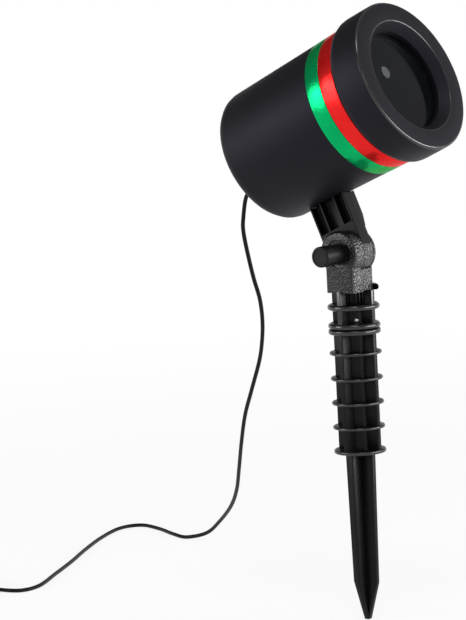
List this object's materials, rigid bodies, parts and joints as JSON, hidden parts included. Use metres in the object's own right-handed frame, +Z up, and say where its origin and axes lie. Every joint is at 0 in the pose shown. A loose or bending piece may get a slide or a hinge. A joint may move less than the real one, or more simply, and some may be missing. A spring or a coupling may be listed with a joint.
{
  "type": "outdoor laser light projector",
  "caption": "Outdoor laser light projector: a round black head with green and red bands on an arm that tilts by a thumb screw on a ringed garden stake, with its low-voltage cord.",
  "frame": {"origin": "tip of the ground spike, on the stake's axis", "axes": "+Z up along the stake; the beam points towards -Y, tilted up 23.2 degrees at rest; the tilt screw lies along X with its knob on the -X side"},
  "size_m": [0.2648, 0.4501, 0.3886],
  "materials": {
    "shell_black": "matte moulded black with a very fine grain",
    "textured_black": "coarse spark-eroded grain, semi-gloss",
    "gloss_black": "glossy moulded black",
    "connector_black": "satin moulded black",
    "green_band": "satin green foil with soft highlights",
    "red_band": "satin red foil with soft highlights",
    "tinted_window": "polished, dark smoke tint",
    "grating_film": "clear film with a grey sheen",
    "mirror_glass": "coated mirror",
    "black_rubber": "dull black",
    "cord_black": "smooth black jacket with a soft gloss",
    "red_insulation": "smooth red insulation",
    "button_red": "satin red",
    "brass": "turned, satin",
    "cast_aluminium": "cast, satin",
    "zinc_steel": "zinc plated",
    "board_green": "solder mask",
    "natural_nylon": "natural, slightly translucent"
  },
  "bodies": {
    "stake": {"ground_spike": "gloss_black", "stake_body": "gloss_black", "stake_head": "textured_black", "joint_pin": "zinc_steel", "captive_nut": "zinc_steel", "knob_washer": "textured_black", "supply_cord_hanging": "cord_black", "supply_cord_ground": "cord_black", "cord_coil": "cord_black", "coil_tie_1": "connector_black", "coil_tie_2": "connector_black", "connector_body": "connector_black", "connector_collar": "connector_black", "connector_barrel": "zinc_steel"},
    "head": {"housing_shell": "shell_black", "front_bezel": "shell_black", "mounting_arm": "shell_black", "button_collar": "shell_black", "button_switch": "shell_black", "light_sensor": "shell_black", "aperture_mask": "shell_black", "mask_retainer": "shell_black", "grating_holder": "shell_black", "mirror_mount": "shell_black", "driver_inductor": "shell_black", "driver_chip": "shell_black", "green_band": "green_band", "red_band": "red_band", "front_window": "tinted_window", "sensor_lens": "tinted_window", "diffraction_grating": "grating_film", "combining_mirror": "mirror_glass", "bezel_seal": "black_rubber", "window_gasket": "black_rubber", "cord_gland": "black_rubber", "supply_wires": "cord_black", "green_laser_wires": "cord_black", "red_laser_wires": "red_insulation", "switch_wires": "red_insulation", "green_laser_module": "brass", "red_laser_module": "brass", "optical_bench": "cast_aluminium", "driver_capacitor": "cast_aluminium", "arm_screw_1": "zinc_steel", "arm_screw_2": "zinc_steel", "bench_screw_1": "zinc_steel", "bench_screw_2": "zinc_steel", "bench_screw_3": "zinc_steel", "driver_board": "board_green", "board_standoff_1": "natural_nylon", "board_standoff_2": "natural_nylon", "board_standoff_3": "natural_nylon", "board_standoff_4": "natural_nylon", "cord_terminal": "natural_nylon"},
    "power_button": {"power_button": "button_red"},
    "thumb_screw": {"thumb_knob": "textured_black", "tilt_screw": "zinc_steel"}
  },
  "joints": [
    {"name": "head_tilt", "type": "hinge", "parent": "stake", "child": "head", "pos_m": [0, 0, 0.235], "axis": [-1, 0, 0], "range_deg": [-68, 66], "deforming": ["supply_cord_hanging"]},
    {"name": "button_press", "type": "slide", "parent": "head", "child": "power_button", "axis": [0, -0.9191, 0.3939], "range_m": [0, 0.0015], "stiffness_N_per_m": 500, "springref_m": -0.001},
    {"name": "thumb_screw_turn", "type": "hinge", "parent": "stake", "child": "thumb_screw", "pos_m": [-0.0143, 0, 0.235], "axis": [-1, 0, 0], "range_deg": [0, 720]}
  ]
}
